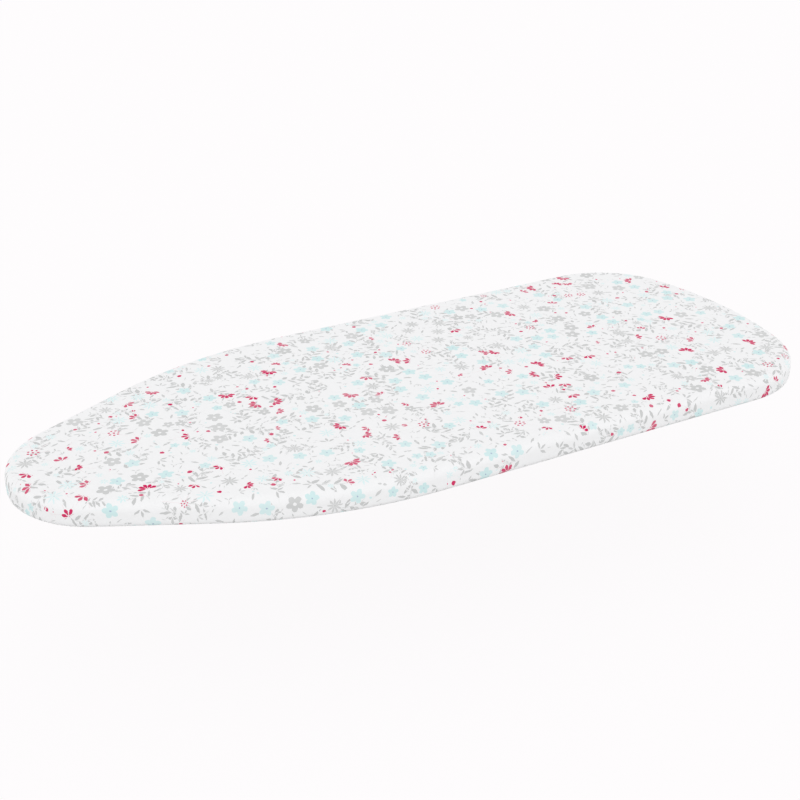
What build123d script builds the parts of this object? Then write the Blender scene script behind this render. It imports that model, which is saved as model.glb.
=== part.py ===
"""A table-top sleeve ironing board, stored flat with its two legs folded into the hollow under the top.

Millimetres, +Z up. X runs along the board, with the nose at -X and the square tail at +X. The origin is at the
middle of the length, on the centre line, on the surface that the folded board lies on.
"""

import os
from math import cos, radians, sin, sqrt

from build123d import *

# Outline of the dressed board
LENGTH = 730.0
WIDTH = 310.0
NOSE_RADIUS = 78.0
FLANK_ANGLE = 27.2  # between the nose's straight flank and the centre line
SHOULDER_RADIUS = 394.0
CORNER_RADIUS = 88.0
TAIL_RADIUS = 355.0

# Layers, as heights above the surface that the folded board lies on
COVER_BOTTOM = 6.0
COVER_TOP = 28.0
COVER_THICK = 1.0
PAD_THICK = 4.8
SHEET = 1.2  # steel of the rim, crossbars and rail
PANEL_THICK = 1.0
GAP = 0.2  # between a soft layer and what it lies on

# How far each layer stands in from the outline
PAD_INSET = COVER_THICK + 0.3
RIM_INSET = 4.0
RIM_LIP_INSET = 13.0
HEM_OUTER_INSET = 36.0
HEM_INNER_INSET = 43.0

# Rounding of the dressed edge
TOP_ROUND = 9.0
BOTTOM_ROUND = 6.0

# Hem casing and its elastic tape
HEM_HEIGHT = 3.5
ELASTIC_CLEARANCE = 0.2

# Steam holes of the top panel
HOLE_RADIUS = 4.5
HOLE_PITCH_X = 24.0
HOLE_PITCH_Y = 21.0
HOLE_EDGE = 20.0  # least distance from the outline to a hole's centre

# Bars under the panel
BAR_WIDTH = 30.0
RAIL_WIDTH = 20.0
BAR_DEPTH = 5.0
BAR_END_GAP = 0.05

# Legs: U-shaped tube with flattened ends
TUBE_RADIUS = 5.0
TUBE_WALL = 1.0
BEND_RADIUS = 25.0
LEG_LENGTH = 140.0  # from the pivot to the foot bar
TONGUE_THICK = 5.0
TONGUE_HALF = 6.0
TONGUE_LENGTH = 20.0
TAPER_LENGTH = 10.0
PIVOT_Z = 8.0
OPEN_ANGLE = 105.0  # from folded to the stop

FRONT_PIVOT_X = -195.0
REAR_PIVOT_X = 275.0
FRONT_HALF_WIDTH = 70.0  # from the centre line to a side tube's axis
REAR_HALF_WIDTH = 95.0

# Pivots and brackets
PIVOT_RADIUS = 2.5
PIVOT_CLEARANCE = 0.08
EAR_INNER = 3.2  # from the leg's middle plane to the ear
EAR_THICK = 1.5
EAR_RADIUS = 5.5
EAR_REACH = 9.0
BRACKET_BASE = 1.5
BRACKET_HALF_LENGTH = 11.0
BRACKET_TAIL = 22.0  # how far the base runs in from the leg's middle plane
STOP_GAP = 0.1
STOP_LENGTH = 7.0
BRACKET_RIVET_RADIUS = 2.0
BRACKET_RIVET_OFFSETS = (9.5, 17.0)
RIVET_HEAD_RADIUS = 3.5
RIVET_HEAD = 1.5

# Rubber feet on the foot bars
FOOT_RADIUS = 8.0
FOOT_CLEARANCE = 0.05
GROOVE = 0.8

# Clips that hold the foot bars
CLIP_LENGTH = 16.0
CLIP_CLEARANCE = 0.5
CLIP_WALL = 2.4
CLIP_JAW_BOTTOM = 5.5
PEG_RADIUS = 2.5

# Heights that follow from the layers
CLOTH_FLOOR = COVER_BOTTOM + COVER_THICK
PAD_TOP = COVER_TOP - COVER_THICK - GAP
PANEL_TOP = PAD_TOP - PAD_THICK
PANEL_BOTTOM = PANEL_TOP - PANEL_THICK
RIM_BOTTOM = CLOTH_FLOOR + 0.8
BAR_BOTTOM = PANEL_BOTTOM - BAR_DEPTH
PAD_SKIRT_BOTTOM = PANEL_BOTTOM - 0.5


def corner_centre_x(inset):
    """X of the tail corners' centre, where a corner meets the bowed tail edge smoothly."""
    corner = CORNER_RADIUS - inset
    tail = TAIL_RADIUS - inset
    centre_y = WIDTH / 2 - CORNER_RADIUS
    return LENGTH / 2 - TAIL_RADIUS + sqrt((tail - corner) ** 2 - centre_y**2)


def shoulder_centre_x():
    """X where the shoulder arc meets the straight side."""
    beta = radians(FLANK_ANGLE)
    nose_x = -LENGTH / 2 + NOSE_RADIUS
    across = cos(beta) * (WIDTH / 2 - SHOULDER_RADIUS) + SHOULDER_RADIUS - NOSE_RADIUS
    return across / sin(beta) + nose_x


def on_arc(centre, radius, angle):
    """The point of an arc at an angle in degrees from +X."""
    return (centre[0] + radius * cos(radians(angle)), centre[1] + radius * sin(radians(angle)))


def arc(centre, radius, start, end):
    """An arc between two angles in degrees."""
    points = [on_arc(centre, radius, a) for a in (start, (start + end) / 2, end)]
    return ThreePointArc(*points)


def outline(inset=0.0):
    """The board's planform, moved in by inset: nose arc, flanks, shoulders, sides, corners and bowed tail."""
    nose = ((-LENGTH / 2 + NOSE_RADIUS, 0), NOSE_RADIUS - inset)
    shoulder = ((shoulder_centre_x(), WIDTH / 2 - SHOULDER_RADIUS), SHOULDER_RADIUS - inset)
    corner = ((corner_centre_x(inset), WIDTH / 2 - CORNER_RADIUS), CORNER_RADIUS - inset)
    tail = ((LENGTH / 2 - TAIL_RADIUS, 0), TAIL_RADIUS - inset)
    flank_normal = 90 + FLANK_ANGLE
    corner_turn = Vector(corner[0][0] - tail[0][0], corner[0][1]).get_signed_angle(Vector(1, 0))
    corner_turn = abs(corner_turn)
    half = Curve() + [
        arc(*nose, 180, flank_normal),
        Line(on_arc(*nose, flank_normal), on_arc(*shoulder, flank_normal)),
        arc(*shoulder, flank_normal, 90),
        Line(on_arc(*shoulder, 90), on_arc(*corner, 90)),
        arc(*corner, 90, corner_turn),
        arc(*tail, corner_turn, 0),
    ]
    return make_face(half + mirror(half, about=Plane.XZ))


def slab(inset, low, high):
    """The planform, moved in by inset, between two heights."""
    return extrude(Pos(0, 0, low) * outline(inset), amount=high - low)


def ring(outer, inner, low, high):
    """A band along the outline between two insets and two heights."""
    return slab(outer, low, high) - slab(inner, low, high)


def rounded(body, low, high, low_round, high_round):
    """Rounds a slab's edges at its bottom and top faces."""
    if high_round:
        body = fillet(body.edges().filter_by_position(Axis.Z, high, high), high_round)
    if low_round:
        body = fillet(body.edges().filter_by_position(Axis.Z, low, low), low_round)
    return body


def cover():
    """The cloth: over the top, round the edge, and turned under to the hem casing."""
    outer = rounded(slab(0, COVER_BOTTOM, COVER_TOP), COVER_BOTTOM, COVER_TOP, BOTTOM_ROUND, TOP_ROUND)
    inside_top = COVER_TOP - COVER_THICK
    inner = rounded(
        slab(COVER_THICK, CLOTH_FLOOR, inside_top),
        CLOTH_FLOOR,
        inside_top,
        BOTTOM_ROUND - COVER_THICK,
        TOP_ROUND - COVER_THICK,
    )
    mouth = slab(HEM_OUTER_INSET + 1, COVER_BOTTOM - 1, CLOTH_FLOOR + 1)
    casing_top = COVER_BOTTOM + HEM_HEIGHT
    casing = ring(HEM_OUTER_INSET, HEM_INNER_INSET, COVER_BOTTOM, casing_top)
    channel = ring(
        HEM_OUTER_INSET + COVER_THICK,
        HEM_INNER_INSET - COVER_THICK,
        CLOTH_FLOOR,
        casing_top - COVER_THICK,
    )
    return outer - inner - mouth + casing - channel


def hem_elastic():
    """Flat elastic tape, a closed loop inside the hem casing."""
    margin = COVER_THICK + ELASTIC_CLEARANCE
    return ring(
        HEM_OUTER_INSET + margin,
        HEM_INNER_INSET - margin,
        CLOTH_FLOOR + ELASTIC_CLEARANCE,
        COVER_BOTTOM + HEM_HEIGHT - margin,
    )


def pad():
    """Foam underlay that laps over the steel edge."""
    low = PAD_TOP - TOP_ROUND
    body = rounded(slab(PAD_INSET, low, PAD_TOP), low, PAD_TOP, 0, TOP_ROUND - PAD_INSET)
    body -= slab(0, low - 1, PAD_SKIRT_BOTTOM)
    return body - slab(RIM_INSET - GAP, PAD_SKIRT_BOTTOM, PANEL_TOP)


def rim():
    """Rolled steel edge: an upright web and a lip turned inward at the bottom."""
    web = ring(RIM_INSET, RIM_INSET + SHEET, RIM_BOTTOM, PANEL_BOTTOM)
    lip = ring(RIM_INSET, RIM_LIP_INSET, RIM_BOTTOM, RIM_BOTTOM + SHEET)
    return web + lip


def crossed(x, y, x_margin, y_margin):
    """Whether a point lies over a crossbar or the rail, within the margins."""
    over_bar = any(abs(x - bar) < BAR_WIDTH / 2 + x_margin for bar in (FRONT_PIVOT_X, REAR_PIVOT_X))
    over_rail = FRONT_PIVOT_X < x < REAR_PIVOT_X and abs(y) < RAIL_WIDTH / 2 + y_margin
    return over_bar or over_rail


def half_width(x, inset):
    """The outline's half width at x, moved in by inset, or 0 past its ends."""
    cut = outline(inset) & Pos(x, 0) * Rectangle(0.02, 2 * WIDTH)
    return cut.bounding_box().max.Y if cut and cut.faces() else 0.0


def hole_places():
    """Centres of the steam holes: a staggered grid that misses the bars and the edge."""
    places = []
    columns = int(LENGTH / HOLE_PITCH_X)
    for i in range(-columns, columns + 1):
        x = i * HOLE_PITCH_X / 2
        reach = half_width(x, HOLE_EDGE) if abs(x) < LENGTH / 2 - HOLE_EDGE else 0.0
        shift = HOLE_PITCH_Y / 2 if i % 2 else 0.0
        rows = int(WIDTH / HOLE_PITCH_Y)
        for j in range(-rows, rows + 1):
            y = j * HOLE_PITCH_Y + shift
            if abs(y) < reach and not crossed(x, y, HOLE_RADIUS + 1, HOLE_RADIUS + 1):
                places.append((x, y))
    return places


def top_panel():
    """Perforated steel sheet."""
    holes = Sketch() + [Pos(x, y) * Circle(HOLE_RADIUS) for x, y in hole_places()]
    sheet = outline(RIM_INSET) - holes
    return extrude(Pos(0, 0, PANEL_BOTTOM) * sheet, amount=PANEL_THICK)


def channel(length_x, length_y, along_x):
    """A shallow steel channel under the panel, open towards it."""
    body = Box(length_x, length_y, BAR_DEPTH, align=(Align.CENTER, Align.CENTER, Align.MIN))
    hollow_x = length_x if along_x else length_x - 2 * SHEET
    hollow_y = length_y - 2 * SHEET if along_x else length_y
    hollow = Box(hollow_x, hollow_y, BAR_DEPTH, align=(Align.CENTER, Align.CENTER, Align.MIN))
    return body - Pos(0, 0, SHEET) * hollow


def crossbar(x, half):
    """A channel across the board at x, cut to the rim, with rivet holes for its two brackets."""
    body = Pos(x, 0, BAR_BOTTOM) * channel(BAR_WIDTH, WIDTH, False)
    body = body & slab(RIM_INSET + SHEET + BAR_END_GAP, BAR_BOTTOM, PANEL_BOTTOM)
    for side in (-1, 1):
        for offset in BRACKET_RIVET_OFFSETS:
            place = Pos(x, side * (half - offset), BAR_BOTTOM)
            body -= place * Cylinder(BRACKET_RIVET_RADIUS, 3 * SHEET)
    return body


def centre_rail():
    """The channel between the crossbars, with a hole for each clip's peg."""
    low = FRONT_PIVOT_X + BAR_WIDTH / 2
    high = REAR_PIVOT_X - BAR_WIDTH / 2
    body = Pos((low + high) / 2, 0, BAR_BOTTOM) * channel(high - low, RAIL_WIDTH, True)
    for x in (FRONT_PIVOT_X + LEG_LENGTH, REAR_PIVOT_X - LEG_LENGTH):
        body -= Pos(x, 0, BAR_BOTTOM) * Cylinder(PEG_RADIUS + PIVOT_CLEARANCE, 3 * SHEET)
    return body


def upright(face, low_y, high_y):
    """A plate cut from a face drawn in X and Z, between two values of Y."""
    return extrude(Pos(0, low_y, 0) * Plane.XZ * face, amount=low_y - high_y)


def ear_face():
    """One bracket ear, drawn round the pivot with the stop side at +X."""
    top = BAR_BOTTOM - BRACKET_BASE - PIVOT_Z
    low_side = on_arc((0, 0), EAR_RADIUS, -60)
    heel = (EAR_REACH, -3.5)
    edges = Curve() + [
        Line((-EAR_RADIUS, top), (-EAR_RADIUS, 0)),
        arc((0, 0), EAR_RADIUS, 180, 300),
        Line(low_side, heel),
        Line(heel, (EAR_REACH, top)),
        Line((EAR_REACH, top), (-EAR_RADIUS, top)),
    ]
    return make_face(edges)


def bracket():
    """A folded steel bracket round its pivot: base, two ears and the stop tab, with the board's middle at -Y."""
    base_top = BAR_BOTTOM - PIVOT_Z
    base = Pos(0, 0, base_top - BRACKET_BASE) * Box(
        2 * BRACKET_HALF_LENGTH,
        BRACKET_TAIL + EAR_INNER + EAR_THICK,
        BRACKET_BASE,
        align=(Align.CENTER, Align.MIN, Align.MIN),
    )
    body = Pos(0, -BRACKET_TAIL, 0) * base
    for side in (-1, 1):
        ear = upright(ear_face(), 0, EAR_THICK)
        middle = side * (EAR_INNER + EAR_THICK / 2)
        body += Pos(0, middle - EAR_THICK / 2, 0) * ear
    lean = OPEN_ANGLE - 90
    stop = Box(EAR_THICK, 2 * (EAR_INNER + EAR_THICK), STOP_LENGTH)
    reach = TONGUE_HALF + STOP_GAP + EAR_THICK / 2
    stop = Pos(reach, 0, -STOP_LENGTH / 2 + 2) * stop
    body += Rot(0, -lean, 0) * stop
    body -= Rot(90, 0, 0) * Cylinder(PIVOT_RADIUS, WIDTH)
    for offset in BRACKET_RIVET_OFFSETS:
        body -= Pos(0, -offset, base_top) * Cylinder(BRACKET_RIVET_RADIUS, 3 * BRACKET_BASE)
    return body


def pivot_rivet():
    """The rivet that a leg turns on, through both ears, along Y."""
    span = EAR_INNER + EAR_THICK
    body = Cylinder(PIVOT_RADIUS, 2 * span)
    for side in (-1, 1):
        head = Cylinder(PIVOT_RADIUS + 2, RIVET_HEAD)
        end = head.edges().filter_by(GeomType.CIRCLE).sort_by(Axis.Z)
        head = fillet(end[-1] if side > 0 else end[0], RIVET_HEAD * 0.6)
        body += Pos(0, 0, side * (span + RIVET_HEAD / 2)) * head
    return Rot(90, 0, 0) * body


def pivot_washers():
    """Two nylon washers between the ears and the leg's eye."""
    thick = EAR_INNER - TONGUE_THICK / 2 - 2 * PIVOT_CLEARANCE
    washer = Cylinder(EAR_RADIUS, thick) - Cylinder(PIVOT_RADIUS + PIVOT_CLEARANCE, thick)
    middle = (EAR_INNER + TONGUE_THICK / 2) / 2
    return [Pos(0, side * middle, 0) * Rot(90, 0, 0) * washer for side in (-1, 1)]


def bracket_rivets():
    """The two rivets that hold one bracket to its crossbar, with the board's middle at -Y."""
    low = BAR_BOTTOM - BRACKET_BASE - PIVOT_Z
    high = BAR_BOTTOM + SHEET - PIVOT_Z
    rivets = []
    for offset in BRACKET_RIVET_OFFSETS:
        shank = Pos(0, 0, (low + high) / 2) * Cylinder(BRACKET_RIVET_RADIUS, high - low)
        below = Cylinder(RIVET_HEAD_RADIUS, RIVET_HEAD, align=(Align.CENTER, Align.CENTER, Align.MAX))
        below = fillet(below.edges().filter_by(GeomType.CIRCLE).sort_by(Axis.Z)[0], RIVET_HEAD * 0.6)
        above = Cylinder(RIVET_HEAD_RADIUS - 0.5, 1, align=(Align.CENTER, Align.CENTER, Align.MIN))
        rivets.append(Pos(0, -offset, 0) * (shank + Pos(0, 0, low) * below + Pos(0, 0, high) * above))
    return rivets


def leg(half):
    """A leg lying along +X from its pivot axis: two flattened eyes, side tubes, bends and the foot bar."""
    start = TONGUE_LENGTH + TAPER_LENGTH
    bend = LEG_LENGTH - BEND_RADIUS
    path = Curve() + [
        Line((start, -half), (bend, -half)),
        arc((bend, -half + BEND_RADIUS), BEND_RADIUS, -90, 0),
        Line((LEG_LENGTH, -half + BEND_RADIUS), (LEG_LENGTH, half - BEND_RADIUS)),
        arc((bend, half - BEND_RADIUS), BEND_RADIUS, 0, 90),
        Line((bend, half), (start, half)),
    ]
    section = Plane(origin=(start, -half, 0), z_dir=(1, 0, 0)) * (
        Circle(TUBE_RADIUS) - Circle(TUBE_RADIUS - TUBE_WALL)
    )
    body = sweep(section, path=path.wires()[0])
    flat = Plane(origin=(0, 0, 0), x_dir=(0, 1, 0), z_dir=(1, 0, 0))
    taper = loft(
        [
            flat.offset(TONGUE_LENGTH) * RectangleRounded(TONGUE_THICK, 2 * TONGUE_HALF, 2),
            flat.offset(start) * Circle(TUBE_RADIUS),
        ]
    )
    tongue = extrude(flat * RectangleRounded(TONGUE_THICK, 2 * TONGUE_HALF, 2), amount=TONGUE_LENGTH)
    tip = Rot(90, 0, 0) * Cylinder(TONGUE_HALF, TONGUE_THICK)
    eye = tongue + tip + taper - Rot(90, 0, 0) * Cylinder(PIVOT_RADIUS + PIVOT_CLEARANCE, 4 * TONGUE_THICK)
    return body + Pos(0, -half, 0) * eye + Pos(0, half, 0) * eye


def foot(length):
    """A rubber sleeve along Y with three grip grooves."""
    body = Cylinder(FOOT_RADIUS, length)
    body = fillet(body.edges().filter_by(GeomType.CIRCLE), 2)
    for place in (-1, 0, 1):
        groove = Cylinder(FOOT_RADIUS + 1, 1.6) - Cylinder(FOOT_RADIUS - GROOVE, 1.6)
        body -= Pos(0, 0, place * length / 4) * groove
    body -= Cylinder(TUBE_RADIUS + FOOT_CLEARANCE, length)
    return Rot(90, 0, 0) * body


def clip():
    """A moulded clip round the foot bar's axis, which is along Y, with a barbed peg into the rail."""
    outer = TUBE_RADIUS + CLIP_CLEARANCE + CLIP_WALL
    top = BAR_BOTTOM - PIVOT_Z
    jaw = CLIP_JAW_BOTTOM - PIVOT_Z
    body = Pos(0, 0, (top + jaw) / 2) * Box(2 * outer, CLIP_LENGTH, top - jaw)
    body = fillet(body.edges().filter_by(Axis.Y), 1.1)
    throat = TUBE_RADIUS + CLIP_CLEARANCE
    body -= Rot(90, 0, 0) * Cylinder(throat, CLIP_LENGTH)
    body -= Pos(0, 0, jaw / 2) * Box(2 * throat, CLIP_LENGTH, -jaw)
    peg = Cylinder(PEG_RADIUS, SHEET + 1, align=(Align.CENTER, Align.CENTER, Align.MIN))
    barb = Cone(PEG_RADIUS + 1, PEG_RADIUS - 1, 2, align=(Align.CENTER, Align.CENTER, Align.MIN))
    return body + Pos(0, 0, top - 1) * peg + Pos(0, 0, top + SHEET) * barb


def write(name, shape):
    """Writes one node, a shape or a list of loose shapes, as parts/NAME.step."""
    if isinstance(shape, list):
        shape = Compound(children=shape)
    export_step(shape, f"parts/{name}.step")


def write_leg_group(name, pivot_x, outward, half):
    """Writes a leg, its feet, clip, brackets, pivots and washers. Outward is the way that the leg swings to."""
    pivot = Pos(pivot_x, 0, PIVOT_Z)
    facing = Rot(0, 0, 0) if outward < 0 else Rot(0, 0, 180)
    foot_x = pivot_x - outward * LEG_LENGTH
    write(f"{name}_leg", pivot * facing * leg(half))
    straight = half - BEND_RADIUS
    clear = CLIP_LENGTH / 2 + 6
    length = straight - clear
    rivets, washers = [], []
    for side, word in ((1, "left"), (-1, "right")):
        write(f"{name}_{word}_foot", Pos(foot_x, side * (clear + length / 2), PIVOT_Z) * foot(length))
        place = Pos(pivot_x, side * half, PIVOT_Z)
        turned = bracket() if outward > 0 else mirror(bracket(), about=Plane.YZ)
        turned = turned if side > 0 else mirror(turned, about=Plane.XZ)
        write(f"{name}_{word}_bracket", place * turned)
        rivets.append(place * pivot_rivet())
        washers += [place * washer for washer in pivot_washers()]
    write(f"{name}_pivot_rivets", rivets)
    write(f"{name}_pivot_washers", washers)
    write(f"{name}_clip", Pos(foot_x, 0, PIVOT_Z) * clip())


def main():
    """Writes every node."""
    os.makedirs("parts", exist_ok=True)
    write("cover", cover())
    write("hem_elastic", hem_elastic())
    write("pad", pad())
    write("top_panel", top_panel())
    write("rim", rim())
    write("front_crossbar", crossbar(FRONT_PIVOT_X, FRONT_HALF_WIDTH))
    write("rear_crossbar", crossbar(REAR_PIVOT_X, REAR_HALF_WIDTH))
    write("centre_rail", centre_rail())
    write_leg_group("front", FRONT_PIVOT_X, -1, FRONT_HALF_WIDTH)
    write_leg_group("rear", REAR_PIVOT_X, 1, REAR_HALF_WIDTH)
    small = []
    for x, half in ((FRONT_PIVOT_X, FRONT_HALF_WIDTH), (REAR_PIVOT_X, REAR_HALF_WIDTH)):
        for side in (1, -1):
            for rivet in bracket_rivets():
                turned = rivet if side > 0 else mirror(rivet, about=Plane.XZ)
                small.append(Pos(x, side * half, PIVOT_Z) * turned)
    write("bracket_rivets", small)


main()
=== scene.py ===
"""Looks of a table-top sleeve ironing board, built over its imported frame.

Metres, in the frame's own axes: X runs from the round nose to the tail, Z points up out of the ironing
surface, and the origin is the bottom centre of the folded board. Sizes in the classes are millimetres,
except the studio's, which are metres.
"""

import logging
import math
from dataclasses import dataclass
from enum import Enum
from typing import Any, Callable

import bpy
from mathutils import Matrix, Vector, geometry


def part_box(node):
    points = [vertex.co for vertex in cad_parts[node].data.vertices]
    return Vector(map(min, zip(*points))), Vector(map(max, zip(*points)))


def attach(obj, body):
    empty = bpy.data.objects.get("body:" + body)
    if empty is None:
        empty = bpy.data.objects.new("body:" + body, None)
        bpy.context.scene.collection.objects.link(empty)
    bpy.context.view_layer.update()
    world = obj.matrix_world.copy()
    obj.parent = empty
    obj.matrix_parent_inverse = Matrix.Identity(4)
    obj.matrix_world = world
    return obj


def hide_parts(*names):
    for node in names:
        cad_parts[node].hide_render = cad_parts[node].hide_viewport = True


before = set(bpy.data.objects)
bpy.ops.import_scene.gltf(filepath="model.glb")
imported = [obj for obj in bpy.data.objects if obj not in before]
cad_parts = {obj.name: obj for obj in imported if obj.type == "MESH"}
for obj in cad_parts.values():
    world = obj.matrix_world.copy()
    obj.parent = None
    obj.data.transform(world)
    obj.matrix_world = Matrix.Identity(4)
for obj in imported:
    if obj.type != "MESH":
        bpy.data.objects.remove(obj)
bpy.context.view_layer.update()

MM = 0.001
# The ink's edge bleeds over a fifth of a millimetre of thread.
EDGES_PER_MM = 5.0
# The motifs' tables hold a count of petals as a share of this, so that it lies between 0 and 1.
MOST_PETALS = 16
LOG = logging.getLogger("ironing_board")


def linear(hex_colour: str, share: float = 1.0) -> tuple[float, float, float, float]:
    """Turns an sRGB colour into the linear one that a shader socket holds.

    Args:
        hex_colour: A hash and six hex digits.
        share: How much of its light to keep, for a darker shade of it.

    Returns:
        Red, green, blue and an alpha of 1.
    """
    channels = [int(hex_colour[i : i + 2], 16) / 255 for i in (1, 3, 5)]
    shades = [c / 12.92 if c <= 0.04045 else ((c + 0.055) / 1.055) ** 2.4 for c in channels]
    return (shades[0] * share, shades[1] * share, shades[2] * share, 1.0)


class Shader:
    """The node tree of a new material or world, under construction."""

    def __init__(self, owner: bpy.types.ID) -> None:
        """Empties the node tree of a material or world."""
        owner.use_nodes = True
        self.owner = owner
        self.tree = owner.node_tree
        self.tree.nodes.clear()

    def add(self, kind: str, values: Any = (), **settings: Any) -> bpy.types.Node:
        """Adds one node with its settings and links.

        Args:
            kind: The node's type, without its ShaderNode prefix.
            values: Each input's constant, socket or node (its first output), by place or by name.
            settings: The node's own properties. A colour ramp's stops are (position, colour) pairs, each
                colour holding until the next.

        Returns:
            The node.
        """
        node = self.tree.nodes.new("ShaderNode" + kind)
        stops = settings.pop("stops", None)
        for key, value in settings.items():
            setattr(node, key, value)
        if stops:
            node.color_ramp.interpolation = "CONSTANT"
            elements = node.color_ramp.elements
            while len(elements) < len(stops):
                elements.new(1.0)
            for element, (position, colour) in zip(elements, stops):
                element.position = position
                element.color = colour
        pairs = values.items() if isinstance(values, dict) else enumerate(values)
        for key, value in pairs:
            if isinstance(value, bpy.types.Node):
                value = value.outputs[0]
            if isinstance(value, bpy.types.NodeSocket):
                self.tree.links.new(value, node.inputs[key])
            elif value is not None:
                node.inputs[key].default_value = value
        return node

    def finish(self, surface: bpy.types.Node) -> Any:
        """Joins the surface to the output.

        Args:
            surface: The shader node that the material or world shows.

        Returns:
            The material or world.
        """
        output = "OutputWorld" if isinstance(self.owner, bpy.types.World) else "OutputMaterial"
        self.add(output, {"Surface": surface})
        return self.owner


# -----------------------------------------------------------------------------
# The board's planform and the path that the cloth takes round its edge
# -----------------------------------------------------------------------------


@dataclass(frozen=True)
class Station:
    """One place on the outline.

    Attributes:
        place: The point, in millimetres.
        outward: The unit normal in the plane of the board.
    """

    place: Vector
    outward: Vector

    def inset(self, distance: float) -> Vector:
        """The point that lies this far inside the outline."""
        return self.place - self.outward * distance


@dataclass(frozen=True)
class Outline:
    """The planform of the dressed board: arcs and straights that meet smoothly, the same on both sides.

    Attributes:
        length: Along X, from the nose to the tail.
        width: Across the widest place.
        nose_radius: The radius of the round nose.
        flank_angle: The angle between a straight flank and X, in degrees.
        shoulder_radius: The radius of the arc from a flank to the straight side.
        corner_radius: The radius of the tail's corners.
        tail_radius: The radius of the tail's bow.
    """

    length: float
    width: float
    nose_radius: float = 78.0
    flank_angle: float = 27.2
    shoulder_radius: float = 394.0
    corner_radius: float = 88.0
    tail_radius: float = 355.0

    def arcs(self) -> list[tuple[Vector, float, float, float]]:
        """The arcs of the +Y side from nose to tail: centre, radius and the angles of both ends."""
        beta = math.radians(self.flank_angle)
        lean = math.pi / 2 + beta
        nose_x = -self.length / 2 + self.nose_radius
        half = self.width / 2
        reach = math.cos(beta) * (half - self.shoulder_radius) + self.shoulder_radius - self.nose_radius
        shoulder_x = reach / math.sin(beta) + nose_x
        tail_x = self.length / 2 - self.tail_radius
        corner_y = half - self.corner_radius
        corner_x = tail_x + math.sqrt((self.tail_radius - self.corner_radius) ** 2 - corner_y**2)
        turn = math.atan2(corner_y, corner_x - tail_x)
        return [
            (Vector((nose_x, 0)), self.nose_radius, math.pi, lean),
            (Vector((shoulder_x, half - self.shoulder_radius)), self.shoulder_radius, lean, math.pi / 2),
            (Vector((corner_x, corner_y)), self.corner_radius, math.pi / 2, turn),
            (Vector((tail_x, 0)), self.tail_radius, turn, 0.0),
        ]

    def half(self, spacing: float) -> list[Station]:
        """Places along the +Y side, from the nose's tip to the middle of the tail.

        Args:
            spacing: About how far apart they are.

        Returns:
            The places, evenly spaced.
        """
        runs: list[tuple[float, Callable[[float], Station]]] = []
        arcs = self.arcs()
        for index, (centre, radius, start, end) in enumerate(arcs):

            def on_arc(
                t: float, c: Vector = centre, r: float = radius, a: float = start, b: float = end
            ) -> Station:
                """The place at share t of an arc."""
                angle = a + (b - a) * t
                outward = Vector((math.cos(angle), math.sin(angle)))
                return Station(c + outward * r, outward)

            runs.append((radius * abs(end - start), on_arc))
            if index + 1 < len(arcs):
                low = on_arc(1.0)
                after, after_radius = arcs[index + 1][0], arcs[index + 1][1]
                high = after + low.outward * after_radius
                span = (high - low.place).length

                def on_line(t: float, a: Station = low, b: Vector = high) -> Station:
                    """The place at share t of a straight."""
                    return Station(a.place.lerp(b, t), a.outward)

                # Where two arcs meet directly there is no straight.
                if span > 0.01:
                    runs.append((span, on_line))
        total = sum(span for span, _ in runs)
        count = round(total / spacing)
        places = []
        for i in range(count + 1):
            along = total * i / count
            for span, find in runs:
                if along <= span or (span, find) == runs[-1]:
                    places.append(find(min(along / span, 1.0)))
                    break
                along -= span
        return places

    def ring(self, spacing: float) -> list[Station]:
        """The whole outline as a closed ring of places, with no place twice."""
        half = self.half(spacing)
        flipped = [
            Station(Vector((s.place.x, -s.place.y)), Vector((s.outward.x, -s.outward.y))) for s in half[1:-1]
        ]
        return half + flipped[::-1]


@dataclass(frozen=True)
class EdgePath:
    """The path of the cloth's outside, from the flat top round the edge to the seam of the hem casing.

    Attributes:
        top: The height of the flat top.
        bottom: The height of the underside.
        top_round: The radius of the rounding from the top to the side.
        bottom_round: The radius of the rounding from the side to the underside.
        seam_inset: How far inside the outline the seam lies.
        step: About how far apart the points are.
    """

    top: float
    bottom: float
    top_round: float = 9.0
    bottom_round: float = 3.5
    seam_inset: float = 36.0
    step: float = 2.4

    def points(self) -> list[tuple[float, float, float]]:
        """Works out the path.

        Returns:
            For each point how far it lies inside the outline, its height, and the length of cloth since the
            flat top ended.
        """
        side_top = self.top - self.top_round
        side_bottom = self.bottom + self.bottom_round
        quarter = math.pi / 2
        spans = [
            (
                self.top_round * quarter,
                lambda t: (
                    self.top_round * (1 - math.sin(quarter * t)),
                    side_top + self.top_round * math.cos(quarter * t),
                ),
            ),
            (side_top - side_bottom, lambda t: (0.0, side_top + (side_bottom - side_top) * t)),
            (
                self.bottom_round * quarter,
                lambda t: (
                    self.bottom_round * (1 - math.cos(quarter * t)),
                    side_bottom - self.bottom_round * math.sin(quarter * t),
                ),
            ),
            (
                self.seam_inset - self.bottom_round,
                lambda t: (self.bottom_round + (self.seam_inset - self.bottom_round) * t, self.bottom),
            ),
        ]
        found = []
        along = 0.0
        for span, find in spans:
            count = max(3, round(span / self.step))
            for i in range(count):
                inset, height = find(i / count)
                found.append((inset, height, along + span * i / count))
            along += span
        inset, height = spans[-1][1](1.0)
        found.append((inset, height, along))
        return found


# -----------------------------------------------------------------------------
# Finishes
# -----------------------------------------------------------------------------


class Ink(Enum):
    """The screen-printing inks of the cover, as they dry on cotton, and the bare bleached cloth."""

    MIST_GREY = "#CDCECE"
    STONE_GREY = "#C9CACA"
    STEM_GREY = "#D0D1D1"
    AQUA = "#D0E9EA"
    PALE_AQUA = "#D9EFF0"
    SLATE_BLUE = "#A9B8CE"
    CRIMSON = "#D0125C"
    ROSE = "#DA3A72"
    BARE = "#F2F2F3"


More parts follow.
